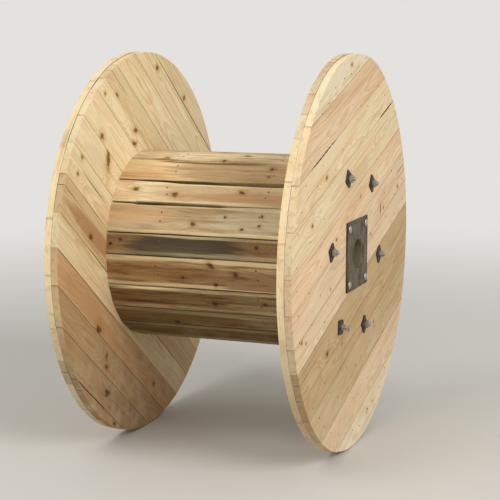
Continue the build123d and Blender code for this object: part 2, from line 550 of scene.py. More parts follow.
def sawn_pine(tree, drum_place):
    """Pine, band-sawn and left raw: matt, faintly ringed and streaked, with knots and fuzzy fibres."""
    place, log_place, split_place, half_width, sapwood, saw_marks, weathered, tone = (
        add_node(tree, "ShaderNodeAttribute", attribute_name=name).outputs[output]
        for name, output in (
            ("board_place", "Vector"),
            ("log_place", "Vector"),
            ("split_place", "Vector"),
            ("half_width", "Fac"),
            ("sapwood", "Fac"),
            ("saw_marks", "Fac"),
            ("weathering", "Fac"),
            ("tone", "Color"),
        )
    )

    # Patterns of the grain. Real fibres are finer than these 2.4 mm, which is what it takes to show them
    streak = grain_noise(tree, log_place, 420, 15)
    wide_streak = grain_noise(tree, log_place, 900, 45, 3.0)
    blotch = grain_noise(tree, log_place, 500, 90, 1.0)
    fibre = grain_noise(tree, log_place, 60, 2.4, 3.0)
    speckle = grain_noise(tree, log_place, 9, 3.5, 1.0)
    crackle = grain_noise(tree, log_place, 110, 13, 5.0)
    patches = grain_noise(tree, log_place, 150, 60, 1.0)
    ragged = grain_noise(tree, log_place, 18, 9)
    heart, halo, bend = knot_masks(tree, ragged)
    late_wood = ring_mask(tree, log_place, bend)
    ringed = add_node(tree, "ShaderNodeMath", {0: late_wood, 1: 0.36}, operation="MULTIPLY")
    swings = ((streak, 30 * MM), (wide_streak, 60 * MM))
    inset, waney = edge_insets(tree, place, half_width, swings)
    mottle, near_ground = dust_masks(tree, drum_place)

    # A split, breaks in the bark's pale edge, and where the saw's marks come and go
    split, broken, patchy = (
        add_node(
            tree,
            "ShaderNodeMapRange",
            {"Value": pattern, "From Min": start, "From Max": end, "To Min": least},
            interpolation_type="SMOOTHSTEP",
        )
        for pattern, start, end, least in (
            (split_distance(tree, split_place, ragged), 1.2, 0.7, 0.0),
            (blotch, 0.38, 0.56, 0.35),
            (patches, 0.42, 0.66, 0.0),
        )
    )
    scored = saw_mark_wave(tree, log_place)
    for share in (patchy, saw_marks):
        scored = add_node(tree, "ShaderNodeMath", {0: scored, 1: share}, operation="MULTIPLY")

    # The wood's own marks, stains, weathering, the bark's pale edge, dust, knots and last what lies on top
    colour = painted(tree, tone, [
        (ringed, "MULTIPLY", "#dcc39e"),
        (blotch, "MULTIPLY", "#f9e9de", 0.48, 0.66, 0.5),
        (streak, "MULTIPLY", "#eae1cf", 0.5, 0.72, 0.75),
        (wide_streak, "SCREEN", "#3d382c", 0.48, 0.3, 0.5),
        *stain_coats(tree, streak),
        (wide_streak, "MULTIPLY", "#c2ad8e", 0.42, 0.62, 1.0, weathered),
        (streak, "MULTIPLY", "#9d8a69", 0.5, 0.72, 0.75, weathered),
        (streak, "SCREEN", "#4a4232", 0.5, 0.32, 1.0, weathered),
        (crackle, "MULTIPLY", "#a38f6d", 0.48, 0.66, 1.0, weathered),
        (waney, "MIX", "#e8d6a6", 60 * MM, 51 * MM, 1.0, sapwood, broken),
        (mottle, "MIX", "#cdba98", 0.42, 0.68, 0.42, near_ground),
        (halo, "MULTIPLY", "#efe0c8"),
        (heart, "MULTIPLY", "#8d7c68"),
        (speckle, "MULTIPLY", "#cfab80", 0.66, 0.78, 0.5),
        (fibre, "MULTIPLY", "#f1eae0", 0.45, 0.75, 0.7),
        (scored, "MULTIPLY", "#ddd3c4"),
        # Darker along each board's edge: grime, with painted shade where the boards meet
        (inset, "MULTIPLY", "#a5855e", 2.5 * MM, 0.0, 0.3),
        # Splits, and the painted shade along some open joints' edges, in one dark colour
        (split, "MIX", "#4b3422"),
    ])
    relief = 0.0
    for pattern, rise in ((fibre, 0.6), (late_wood, 0.25), (scored, -0.5), (split, -2.0)):
        inputs = {0: pattern, 1: rise, 2: relief}
        relief = add_node(tree, "ShaderNodeMath", inputs, operation="MULTIPLY_ADD")
    bump = add_node(tree, "ShaderNodeBump", {"Strength": 0.7, "Distance": 0.6 * MM, "Height": relief})
    dull = add_node(
        tree,
        "ShaderNodeMapRange",
        {"Value": fibre, "From Min": 0.3, "From Max": 0.7, "To Min": 0.74, "To Max": 0.9},
    )
    inputs = {"Base Color": colour, "Roughness": dull, "Normal": bump}
    return add_node(tree, "ShaderNodeBsdfPrincipled", inputs)


def former_pine(tree, place):
    """Pine again, plain-sawn and dusty inside the barrel: pale, with drawn-out streaks."""
    turned = add_node(tree, "ShaderNodeVectorRotate", {"Vector": place, "Angle": math.pi / 2})
    streak = grain_noise(tree, turned, 380, 14)
    fibre = grain_noise(tree, turned, 50, 2.4, 3.0)
    colour = painted(tree, "#c9ad80", [
        (streak, "MULTIPLY", "#d2b68e", 0.42, 0.68, 1.0),
        (fibre, "MULTIPLY", "#e6d8c4"),
    ])
    bump = add_node(tree, "ShaderNodeBump", {"Strength": 0.6, "Distance": 0.6 * MM, "Height": fibre})
    inputs = {"Base Color": colour, "Roughness": 0.85, "Normal": bump}
    return add_node(tree, "ShaderNodeBsdfPrincipled", inputs)


def hot_rolled_steel(tree, place):
    """Hot-rolled steel plate: olive-grey mill scale, dull and cloudy, and lighter in the bore: rubbed steel
    with a painted reflection.
    """
    # The mill scale's grit is finer on real plate, and is drawn at 2.4 mm so that it shows
    clouds = add_node(tree, "ShaderNodeTexNoise", {"Vector": place, "Scale": 1 / (42 * MM), "Detail": 4.0})
    grit = add_node(tree, "ShaderNodeTexNoise", {"Vector": place, "Scale": 1 / (2.4 * MM), "Detail": 2.0})
    flat = add_node(tree, "ShaderNodeVectorMath", {0: place, 1: (0, 1, 1)}, operation="MULTIPLY")
    from_axis = add_node(tree, "ShaderNodeVectorMath", {0: flat}, operation="LENGTH")
    colour = painted(tree, "#6f6349", [
        (clouds, "MULTIPLY", "#c9c2b2"),
        (from_axis, "MULTIPLY", "#b3a68f", 95 * MM, 165 * MM, 1.0),
        (clouds, "MULTIPLY", "#b08d6c", 0.56, 0.7, 0.7),
        # Lighter in the bore: rubbed steel, with a painted reflection of the light off its inner wall
        (from_axis, "MIX", "#92866c", bore_radius + 1.1 * MM, bore_radius + 0.2 * MM, 1.0),
        (grit, "MULTIPLY", "#dedad2"),
    ])
    dull = add_node(
        tree,
        "ShaderNodeMapRange",
        {"Value": clouds, "From Min": 0.35, "From Max": 0.65, "To Min": 0.42, "To Max": 0.62},
    )
    bump = add_node(tree, "ShaderNodeBump", {"Strength": 0.4, "Distance": 0.3 * MM, "Height": grit})
    inputs = {"Base Color": colour, "Metallic": 0.55, "Roughness": dull, "Normal": bump}
    return add_node(tree, "ShaderNodeBsdfPrincipled", inputs)


def black_oxide_steel(tree, place):
    """Black oxide steel, gone brown in spots: nearly black and dull, with a rusty bloom."""
    bloom = add_node(tree, "ShaderNodeTexNoise", {"Vector": place, "Scale": 1 / (17 * MM), "Detail": 4.0})
    colour = painted(tree, "#2f2c29", [(bloom, "MIX", "#4d3a2b", 0.48, 0.66, 0.8)])
    bump = add_node(tree, "ShaderNodeBump", {"Strength": 0.5, "Distance": 0.3 * MM, "Height": bloom})
    inputs = {"Base Color": colour, "Metallic": 0.4, "Roughness": 0.55, "Normal": bump}
    return add_node(tree, "ShaderNodeBsdfPrincipled", inputs)


def zinc_plated_steel(tree, place):
    """Zinc-plated steel: a bright, slightly blue grey that dulls in patches to a chalky white."""
    patches = add_node(tree, "ShaderNodeTexNoise", {"Vector": place, "Scale": 1 / (9 * MM), "Detail": 3.0})
    colour = painted(tree, "#b9bbb8", [
        (patches, "MIX", "#cfcfc9", 0.5, 0.68, 0.6),
        (patches, "MULTIPLY", "#d9d6cf"),
    ])
    dull = add_node(
        tree,
        "ShaderNodeMapRange",
        {"Value": patches, "From Min": 0.35, "From Max": 0.65, "To Min": 0.26, "To Max": 0.46},
    )
    inputs = {"Base Color": colour, "Metallic": 1.0, "Roughness": dull}
    return add_node(tree, "ShaderNodeBsdfPrincipled", inputs)


def wire_nail_steel(tree, place):
    """Bare wire nails, weathered: dull brown-grey heads."""
    spots = add_node(tree, "ShaderNodeTexNoise", {"Vector": place, "Scale": 1 / (3.4 * MM), "Detail": 2.0})
    colour = painted(tree, "#78664f", [(spots, "MULTIPLY", "#b08a68")])
    inputs = {"Base Color": colour, "Metallic": 0.6, "Roughness": 0.5}
    return add_node(tree, "ShaderNodeBsdfPrincipled", inputs)


# Boards

def set_values(mesh, name, values):
    """Writes one value for each point of a mesh: a number, a vector or a colour."""
    values = np.asarray(values, np.float32)
    if values.ndim == 1:
        kind, key = "FLOAT", "value"
    elif values.shape[1] == 3:
        kind, key = "FLOAT_VECTOR", "vector"
    else:
        kind, key = "FLOAT_COLOR", "color"
    made = mesh.attributes.new(name, kind, "POINT")
    made.data.foreach_set(key, values.ravel())


def mark_distance(places, along, across, half_length, half_width, turn=0.0):
    """Each place's way from a mark's middle, in the mark's own half length and half width."""
    run = places[:, 0] - along * MM
    rise = places[:, 1] - across * MM
    cosine, sine = math.cos(math.radians(turn)), math.sin(math.radians(turn))
    return np.stack([
        (run * cosine + rise * sine) / (half_length * MM),
        (rise * cosine - run * sine) / (half_width * MM),
        np.zeros(len(places)),
    ], axis=1)


def set_board(mesh, choice, places, half_width, looks):
    """Writes one board's place in its log and its own marks into the mesh's attributes."""
    count = len(places)
    nowhere = np.full((count, 3), no_place)
    shade = choice.uniform(0.95, 1.04)
    tone = np.tile([channel * shade for channel in linear(pine_tones[looks["tone"]])[:3]], (count, 1))
    log = [choice.uniform(-20, 20) for _ in range(3)]
    pith_across = choice.uniform(-0.7, 0.7) * half_width
    pith_depth = choice.choice((-1, 1)) * choice.uniform(35, 110) * MM
    taper = choice.uniform(-18, 18) * MM
    from_pith = np.stack([
        np.zeros(count),
        places[:, 1] - pith_across - ring_waver / 2,
        places[:, 2] - pith_depth + places[:, 0] * taper - ring_waver / 2,
    ], axis=1)
    set_values(mesh, "board_place", places)
    set_values(mesh, "log_place", places + np.array(log))
    set_values(mesh, "ring_place", from_pith)
    lemon = np.array(linear(pine_tones["lemon"])[:3])
    # Sawn rims are drawn paler, and darker at end grain and where painted shade falls low on the drum
    sawn_round, end_grain = looks["sawn_round"][:, None], looks["end_grain"][:, None]
    tone += sawn_round * (1 - end_grain) * rim_paleness * (lemon - tone)
    tone *= 1 - sawn_round * end_grain * end_grain_loss
    # Painted shade: points deep in a joint, or where one flange layer lies on the other, are drawn dark
    tone *= 1 - looks["in_joint"][:, None] * (1 - tone_left_in_joint)
    set_values(mesh, "tone", np.hstack([tone, np.ones((count, 1))]))
    set_values(mesh, "half_width", np.full(count, half_width))
    low_sap, high_sap = looks["sap"]
    set_values(mesh, "sapwood", np.where(places[:, 1] < 0, low_sap, high_sap))
    saw_marks = choice.choice((0.0, 0.0, 0.15, 0.3)) * looks["sawn"]
    set_values(mesh, "saw_marks", saw_marks * (1 - looks["sawn_round"]))
    set_values(mesh, "weathering", np.full(count, looks["weathering"]))
    for number in range(knots_to_a_board):
        spot = nowhere
        if number < len(looks["knots"]):
            along, across, radius, stretch, turn = looks["knots"][number]
            spot = mark_distance(places, along, across, radius * stretch, radius, turn)
        set_values(mesh, f"knot_{number + 1}", spot)
    for number, (place_name, tone_name) in enumerate(stain_attributes):
        spot, paint = nowhere, [0, 0, 0, 0]
        if number < len(looks["stains"]):
            along, across, half_length, half_breadth, stain, strength = looks["stains"][number]
            spot = mark_distance(places, along, across, half_length, half_breadth)
            paint = linear(pine_tones[stain])[:3] + [strength]
        set_values(mesh, place_name, spot)
        set_values(mesh, tone_name, np.tile(paint, (count, 1)))
    spot = nowhere
    for start, end, across, width in looks["splits"]:
        spot = mark_distance(places, (start + end) / 2, across, abs(end - start) / 2, width)
    set_values(mesh, "split_place", spot)


def chance_knots(choice, half_length, half_width, numbers):
    """Small knots where they happen to fall on a board, in millimetres."""
    return [
        (
            choice.uniform(-0.9, 0.9) * half_length / MM,
            choice.uniform(-0.75, 0.75) * half_width / MM,
            choice.uniform(4, 9),
            choice.uniform(1, 1.7),
            choice.uniform(-20, 20),
        )
        for _ in range(choice.choice(numbers))
    ]


def edge_points(offset, start, end, inward, opening, choice):
    """Points along a plank's edge, which wanders a little and stands back where the joint is open."""
    phase = choice.uniform(0, 100)
    points = []
    for at in np.linspace(start, end, max(3, round(abs(end - start) / edge_step) + 1)):
        free = 0 if at in (start, end) else 1
        wander = (0.5 + 0.5 * noise.noise(Vector((at * 5, phase, 0)))) * plank_edge_wander
        points.append((float(at), offset + inward * (wander + opening(at)) * free))
    return points


def arc_points(size, start, end, wander, choice):
    """Points along an arc about the centre, between its ends, which wanders inwards a little."""
    phase = choice.uniform(0, 100)
    points = []
    for angle in np.linspace(start, end, max(3, round(abs(end - start) * size / rim_step) + 1))[1:-1]:
        drop = wander * (0.5 + 0.5 * noise.noise(Vector((angle * 9, phase, 0))))
        points.append(((size - drop) * math.cos(angle), (size - drop) * math.sin(angle)))
    return points


def joint_points(offset, start, end, inward, opening, choice):
    """A plank's edge from start to end, cut out round the bush where it meets the bush's hole."""
    if abs(offset) >= bush_hole_radius:
        return edge_points(offset, start, end, inward, opening, choice)
    turn = math.copysign(math.sqrt(bush_hole_radius**2 - offset**2), start)
    first, last = math.atan2(offset, turn), math.atan2(offset, -turn)
    if last > first:
        last -= 2 * math.pi
    return (
        edge_points(offset, start, turn, inward, opening, choice)
        + arc_points(bush_hole_radius, first, last, 0, choice)
        + edge_points(offset, -turn, end, inward, opening, choice)
    )


def plank_outline(low, high, radius, openings, choice):
    """A plank's outline over the disc, between two joints, cut round at the rim and at the bush."""
    reach = radius - choice.uniform(0.1, 1) ** 2 * plank_end_setback

    def opened(offset):
        near = [gap for gap in openings if abs(gap[2] * MM - offset) < open_joint_search]

        def opening(at):
            total = 0.0
            for start, end, _, width in near:
                inside = min(at - start * MM, end * MM - at)
                total += width * MM / 2 * smooth_step(inside, 0, open_joint_taper)
            return total

        return opening

    outline = []
    low_angle = math.asin(max(-1, low / reach))
    high_angle = math.asin(min(1, high / reach))
    low_half, high_half = reach * math.cos(low_angle), reach * math.cos(high_angle)
    if low > -reach:
        outline += joint_points(low, -low_half, low_half, 1, opened(low), choice)
    outline += arc_points(reach, low_angle, high_angle, rim_wander, choice)
    if high < reach:
        outline += joint_points(high, high_half, -high_half, -1, opened(high), choice)
    outline += arc_points(reach, math.pi - high_angle, math.pi - low_angle, rim_wander, choice)
    return outline


def plank_looks(layer, number, middle, half_width, half_length, choice):
    """A plank's tone and marks: those set for its place, and otherwise what chance gives."""
    marks = plank_marks[layer]
    low, high = (middle - half_width) / MM, (middle + half_width) / MM
    looks = {"tone": plank_tones[layer][number], "sap": (0.0, 0.0), "weathering": 0.05, "sawn": 1.0}
    for kind in ("knots", "stains", "splits", "shaded_joint_edges"):
        here = []
        for mark in marks.get(kind, ()):
            across_at = 1 if kind in ("knots", "stains") else 2
            if low < mark[across_at] <= high:
                moved = list(mark)
                moved[across_at] -= middle / MM
                here.append(moved)
        looks[kind] = here
    numbers = (0, 1, 2, 3) if not marks else (0, 1, 1)
    looks["knots"] += chance_knots(choice, half_length, half_width, numbers)
    if not looks["splits"] and choice.random() < 0.3:
        rim = choice.choice((-1, 1)) * half_length / MM
        looks["splits"] = [(rim * 0.7, rim * 1.1, choice.uniform(-0.5, 0.5) * half_width / MM, 1.1)]
    # A shaded joint edge is drawn as a split: a dark line of painted shade
    looks["splits"] += looks["shaded_joint_edges"]
    return looks


def plank(name, corners, thickness, choice):
    """A plank grown along X from the corners of its lower face, with its edges softened."""
    shape = bmesh.new()
    face = shape.faces.new([shape.verts.new(corner) for corner in corners])
    grown = bmesh.ops.extrude_face_region(shape, geom=[face])
    moved = [item for item in grown["geom"] if isinstance(item, bmesh.types.BMVert)]
    bmesh.ops.translate(shape, verts=moved, vec=(thickness, 0, 0))
    bmesh.ops.recalc_face_normals(shape, faces=shape.faces)
    outer_edges = [
        edge for edge in shape.edges if abs(edge.verts[0].co.x - edge.verts[1].co.x) < 1e-6
    ]
    bmesh.ops.bevel(
        shape,
        geom=outer_edges,
        offset=plank_arris * choice.uniform(0.7, 1.3),
        segments=2,
        profile=0.6,
        affect="EDGES",
        clamp_overlap=True,
    )
    return finished_mesh(name, shape)


def rim_looks(points, run, radius, bottom, top):
    """Where a plank was sawn round at the rim, and how far it darkens there, as end grain and as painted
    shade low down.
    """
    from_axis = np.hypot(points[:, 1], points[:, 2])
    at_rim = from_axis > radius - plank_end_setback - 2 * rim_wander
    inside = np.minimum(points[:, 0] - bottom, top - points[:, 0])
    sawn_round = np.where(at_rim & (inside > 0.3 * plank_arris), 1.0, 0.0)
    across_grain = np.abs(points @ run) / from_axis
    # Painted shade: the rim darkens towards the floor
    low_on_drum = np.clip((rim_shade_height - points[:, 2]) / rim_shade_drop, 0, 1)
    end_grain = np.maximum(np.clip((across_grain - 0.6) / 0.35, 0, 1), low_on_drum)
    return sawn_round, end_grain


def flange_layer(name, choice):
    """One layer of a flange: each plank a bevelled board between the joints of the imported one."""
    angle = math.radians(plank_angles[name])
    run = np.array((0, math.cos(angle), math.sin(angle)))
    rise = np.array((0, -math.sin(angle), math.cos(angle)))
    low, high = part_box(name)
    radius = high.z
    side = open_sides[name]
    openings = plank_marks[name].get("open_joints", ())
    spans = sorted((float((c @ rise).min()), float((c @ rise).max())) for c in solids_of(name))
    boards = []
    for number, (start, end) in enumerate(spans):
        middle, half_width = (start + end) / 2, (end - start) / 2
        nearest = min(abs(start), abs(end))
        half_length = max(math.sqrt(max(radius**2 - nearest**2, 0)), shortest_half_length)
        start -= 0 if number == 0 else choice.uniform(least_swelling, most_swelling)
        end += 0 if number == len(spans) - 1 else choice.uniform(least_swelling, most_swelling)
        sunk = choice.uniform(0, plank_sink)
        bottom, top = (low.x, high.x - sunk) if side > 0 else (low.x + sunk, high.x)
        corners = [
            Vector(run * along + rise * across) + Vector((bottom, 0, 0))
            for along, across in plank_outline(start, end, radius, openings, choice)
        ]
        mesh = plank(f"{name}_{number}", corners, top - bottom, choice)
        points = np.array([vert.co for vert in mesh.vertices])
        depth = (high.x - points[:, 0]) if side > 0 else (points[:, 0] - low.x)
        places = np.stack([points @ run, points @ rise - middle, depth], axis=1)
        looks = plank_looks(name, number, middle, half_width, half_length, choice)
        looks["sawn_round"], looks["end_grain"] = rim_looks(points, run, radius, bottom, top)
        # Painted shade where this layer meets the other one, and down its open joints
        looks["in_joint"] = np.where(depth > high.x - low.x - 0.3 * plank_arris, 1.0, 0.0)
        set_board(mesh, choice, places, half_width, looks)
        boards.append(mesh)
    return joined_mesh(name, boards)


def stave_frame(number):
    """A packed stave's corners, the way out of the barrel at its middle, and the way round the barrel."""
    corners = solids_of(f"stave_{number:02d}")[0]
    centre = corners.mean(axis=0)
    middle = math.atan2(centre[2], centre[1])
    outward = np.array((0, math.cos(middle), math.sin(middle)))
    round_way = np.array((0, -math.sin(middle), math.cos(middle)))
    return corners, outward, round_way


def stave_joint(stops, phase):
    """How wide a joint stands open at any place along it, and how far it strays round the barrel."""
    def opening(x):
        width = stops[0][1]
        for (start, from_width), (end, to_width) in zip(stops, stops[1:]):
            if x > start * MM:
                width = from_width + (to_width - from_width) * smooth_step(x, start * MM, end * MM)
        return width * MM

    def stray(x):
        bend = noise.noise(Vector((x * 2.5, phase, 3))) + 0.35 * noise.noise(Vector((x * 11, phase, 7)))
        return joint_stray * bend

    return opening, stray


def waney_side(x, spread, phase, wane, half, inner, outer):
    """Half a stave's section at a place along it: from its inner corner up the joint, over the edge
    that the bark left and on to its face, each point across the stave and out from the axis."""
    wander = (0.5 * noise.noise(Vector((x * 6, phase, 9))) + 0.5) * stave_edge_wander
    slow = 0.9 * noise.noise(Vector((x * 4, phase, 0)))
    quick = 0.4 * noise.noise(Vector((x * 17, phase, 5)))
    cut = wane * max(0.3, 1 + slow + quick)
    reach = half + spread - wander
    throat = cut + joint_throat
    return [
        (half - wander, inner),
        (reach - throat * spread / stave_thickness, outer - throat),
        (reach - cut * spread / stave_thickness, outer - cut),
        (reach - 0.3 * cut, outer - 0.42 * cut),
        (reach - 1.1 * cut, outer - 0.05 * cut),
    ]


def stave(number, joints, choice):
    """One stave: a board whose outer corners are rounded by the bark's edge and close the joints."""
    corners, outward, round_way = stave_frame(number)
    inner, outer = float((corners @ outward).min()), float((corners @ outward).max())
    half = float((corners @ round_way).max())
    length = float(corners[:, 0].max())
    full_gap = 2 * stave_thickness * half / inner
    marks = stave_marks.get(number, {})
    looks = {
        "tone": stave_tones[number - 1],
        "sap": (choice.uniform(0, 0.7), choice.uniform(0, 0.7)),
        "weathering": choice.uniform(0.2, 0.8),
        "sawn": 0.4,
        "stains": (),
        "splits": (),
        "knots": chance_knots(choice, length, half, (0, 1, 2, 3)),
    }
    looks.update(marks)
    phases = [choice.uniform(0, 100) for _ in range(2)]
    wanes = [choice.uniform(1, 2) * least_wane * (1 + 1.5 * sap) for sap in looks["sap"]]
    shape = bmesh.new()
    rings = []
    for station in range(stave_stations + 1):
        x = -length + 2 * length * station / stave_stations
        low_side, high_side = (
            waney_side(x, (full_gap - gap(x)) / 2 + way * stray(x), phase, wane, half, inner, outer)
            for (gap, stray), phase, wane, way in zip(joints, phases, wanes, (-1, 1))
        )
        profile = [(-across, height) for across, height in low_side] + [(0, outer)] + high_side[::-1]
        rings.append([
            shape.verts.new(Vector(round_way * across + outward * height) + Vector((x, 0, 0)))
            for across, height in profile
        ])
    for near, far in zip(rings, rings[1:]):
        bridge(shape, near, far)
    shape.faces.new(rings[0])
    shape.faces.new(rings[-1])
    mesh = finished_mesh(f"stave_{number:02d}", shape)
    points = np.array([vert.co for vert in mesh.vertices])
    places = np.stack([points[:, 0], points @ round_way, outer - points @ outward], axis=1)
    looks["sawn_round"] = looks["end_grain"] = np.zeros(len(points))
    # Painted shade down the joint sides, from the throat to the inner corner
    looks["in_joint"] = np.tile([1, 1] + [0] * (len(profile) - 4) + [1, 1], stave_stations + 1)
    set_board(mesh, choice, places, half + full_gap / 4, looks)
    return mesh


# Steel

def turned_solid(shape, rings, sides, place, closed=True):
    """Adds a solid of rings about a local Z. A ring is a radius and a height, or gives them for an angle."""
    loops = []
    for ring in rings:
        loop = []
        for side in range(sides):
            angle = 2 * math.pi * side / sides
            radius, height = ring(angle) if callable(ring) else ring
            loop.append(shape.verts.new(
                place @ Vector((radius * math.cos(angle), radius * math.sin(angle), height))
            ))
        loops.append(loop)
    if not closed:
        shape.faces.new(loops[0])
        shape.faces.new(loops[-1])
    for near, far in zip(loops, loops[1:] + loops[:1] if closed else loops[1:]):
        bridge(shape, near, far)


def polygon_radius(angle, flats, corners):
    """How far a regular polygon reaches at an angle, from its width across flats."""
    step = 2 * math.pi / corners
    off = (angle + step / 2) % step - step / 2
    return flats / 2 / math.cos(off)


def nut_rings(bore, flats, height):
    """A hexagon nut, chamfered at both ends and countersunk at its bore."""
    def edge(angle):
        return polygon_radius(angle, flats, 6)

    def fall(angle):
        return (edge(angle) - 0.48 * flats) * math.tan(math.radians(30))

    return [
        (bore, 0.06 * flats),
        (bore + 0.05 * flats, 0),
        (0.47 * flats, 0),
        lambda angle: (edge(angle), fall(angle)),
        lambda angle: (edge(angle), height - fall(angle)),
        (0.47 * flats, height),
        (bore + 0.05 * flats, height),
        (bore, height - 0.06 * flats),
    ]


def washer_rings(side, bore, thickness):
    """A square plate washer with softened edges and blunted corners."""
    soft = 0.7 * MM
    eased = 0.5 * MM

    def square(angle, inset):
        reach = polygon_radius(angle, side - 2 * inset, 4)
        return min(reach, side * 0.66)

    return [
        (bore, 0),
        lambda angle: (square(angle, soft), 0),
        lambda angle: (square(angle, 0), soft),
        lambda angle: (square(angle, 0), thickness - soft),
        lambda angle: (square(angle, soft), thickness),
        (bore + eased, thickness),
        (bore, thickness - eased),
    ]


def dome_rings(radius, height, steps=6):
    """A domed round head, standing on the local XY plane."""
    rings = [(radius, 0.0)]
    for step in range(1, steps + 1):
        lean = step / (steps + 0.35) * math.pi / 2
        rings.append((radius * math.cos(lean), height * math.sin(lean)))
    return rings


def thread_rings(radius, pitch, start, end):
    """A threaded rod's end: a helical groove, with the last turn chamfered away."""
    rings = []
    count = round((end - start) / pitch * 6)
    for step in range(count + 1):
        height = start + (end - start) * step / count

        def ring(angle, height=height):
            phase = (height / pitch - angle / (2 * math.pi)) % 1.0
            groove = 0.6 * pitch * (1 - abs(2 * phase - 1))
            chamfer = max(0.0, height - (end - 1.2 * MM))
            return radius - groove - chamfer, height

        rings.append(ring)
    return rings


def standing(point, side, turn=0.0):
    """The place of a piece that stands on a face looking along X, turned about its own axis."""
    facing = Matrix.Rotation(side * math.pi / 2, 4, "Y")
    return Matrix.Translation(Vector(point)) @ facing @ Matrix.Rotation(turn, 4, "Z")


def corner_turn(corners, side):
    """The turn at which a polygon's first corner lies, in the axes that standing() gives it."""
    centre = (corners.min(axis=0) + corners.max(axis=0)) / 2
    local = [standing((0, 0, 0), side).inverted() @ Vector(point - centre) for point in corners]
    far = max(local, key=lambda point: point.x**2 + point.y**2)
    return math.atan2(far.y, far.x)


def seated(node, side, rings, corners, sides):
    """Nuts or washers where a node's are, standing on their seats and facing the given side."""
    shape = bmesh.new()
    for points in solids_of(node):
        low, high = points.min(axis=0), points.max(axis=0)
        foot = ((low[0] if side > 0 else high[0]), (low[1] + high[1]) / 2, (low[2] + high[2]) / 2)
        turn = corner_turn(points, side) - math.pi / corners
        turned_solid(shape, rings(high[0] - low[0]), sides, standing(foot, side, turn))
    return finished_mesh(node, shape)


def rod_nuts(node, side):
    """The nuts on one side's tie rods."""
    def rings(height):
        return nut_rings(rod_nut_bore, rod_nut_flats, height)

    return seated(node, side, rings, corners=6, sides=48)


def rod_washers(node, side):
    """The square washers under them."""
    def rings(thickness):
        return washer_rings(washer_side, washer_bore, thickness)

    return seated(node, side, rings, corners=4, sides=64)


def bolt_nuts(node, side):
    """The nuts behind the hub, which look into the barrel."""
    def rings(height):
        return nut_rings(bolt_nut_bore, bolt_nut_flats, height)

    return seated(node, -side, rings, corners=6, sides=48)


def hub_bolts(node, side):
    """The bolts through the hub plate, with their domed heads."""
    shape = bmesh.new()
    for corners in solids_of(node):
        low, high = corners.min(axis=0), corners.max(axis=0)
        middle = ((low[1] + high[1]) / 2, (low[2] + high[2]) / 2)
        tip, inner_end = (high[0], low[0]) if side > 0 else (low[0], high[0])
        seat = tip - side * bolt_head_height
        head = dome_rings(bolt_head_radius, bolt_head_height)
        turned_solid(shape, head, sides=32, place=standing((seat, *middle), side), closed=False)
        shank = thread_rings(bolt_radius, bolt_pitch, 1 * MM, abs(inner_end - seat))
        turned_solid(shape, shank, sides=24, place=standing((seat, *middle), -side), closed=False)
    return finished_mesh(node, shape, smooth=True)


def tie_rod(node):
    """A tie rod: a plain shank, with a rolled thread at each end."""
    low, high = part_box(node)
    middle = (low + high) / 2
    centre = (0, middle.y, middle.z)
    radius = (high.y - low.y) / 2
    half = (high.x - low.x) / 2
    plain = half - rod_thread_length
    shape = bmesh.new()
    for side in (1, -1):
        thread = thread_rings(radius, rod_pitch, plain, half)
        turned_solid(shape, thread, sides=36, place=standing(centre, side), closed=False)
    shank_radius = radius - rod_shank_relief
    shank = [(shank_radius, -plain), (shank_radius, plain)]
    turned_solid(shape, shank, sides=36, place=standing(centre, 1), closed=False)
    return finished_mesh(node, shape)


def hub_plate(node, side):
    """The hub: a square plate with softened edges, and a bush with a run of weld round its end."""
    low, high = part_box(node)
    width = high.y - low.y
    depth = high.x - low.x
    back = depth - plate_thickness
    soft = 1.2 * MM
    eased = 0.8 * MM

    def square(angle, inset):
        return polygon_radius(angle, width - 2 * inset, 4)

    def weld(angle):
        return weld_bead * (0.8 + 0.2 * abs(math.sin(26 * angle)) + 0.1 * math.sin(7 * angle + 2))

    rings = [
        (bore_radius + 1 * MM, 0),
        (bush_radius, 0),
        (bush_radius, back),
        lambda angle: (square(angle, soft), back),
        lambda angle: (square(angle, 0), back + soft),
        lambda angle: (square(angle, 0), depth - soft),
        lambda angle: (square(angle, soft), depth),
        lambda angle: (square(angle, 6 * MM), depth),
        lambda angle: (bush_radius + weld(angle), depth),
        lambda angle: (bush_radius + 0.6 * weld(angle), depth + 0.3 * weld(angle)),
        lambda angle: (bush_radius + 0.1 * weld(angle), depth + 0.25 * weld(angle)),
        (bush_radius - eased, depth),
        (bore_radius + eased, depth),
        (bore_radius, depth - eased),
        (bore_radius, eased),
    ]
    foot = low.x if side > 0 else high.x
    shape = bmesh.new()
    turned_solid(shape, rings, sides=160, place=standing((foot, 0, 0), side))
    return finished_mesh(node, shape)


def nails(name, spots):
    """Nail heads driven flush, each standing on its spot and facing along its own direction."""
    shape = bmesh.new()
    for point, facing in spots:
        turn = facing.to_track_quat("Z", "Y").to_matrix().to_4x4()
        place = Matrix.Translation(point - facing * nail_depth) @ turn
        rings = [
            (nail_radius * 0.5, 0.0),
            (nail_radius, 0.8 * MM),
            (nail_radius, nail_depth),
            (nail_radius * 0.75, nail_depth + 0.4 * MM),
        ]
        turned_solid(shape, rings, sides=12, place=place, closed=False)
    return finished_mesh(name, shape)


def flange_nail_spots(side, choice):
    """Rings of nails that hold the two layers together, driven from the open face."""
    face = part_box("right_outer_planks")[1].x - plank_sink / 2
    spots = []
    for radius, count in flange_nail_rings:
        turn = choice.uniform(0, 1)
        for step in range(count):
            angle = 2 * math.pi * (step + turn + choice.uniform(-0.18, 0.18)) / count
            reach = (radius + choice.uniform(-9, 9)) * MM
            point = Vector((side * face, reach * math.cos(angle), reach * math.sin(angle)))
            spots.append((point, Vector((side, 0, 0))))
    return spots


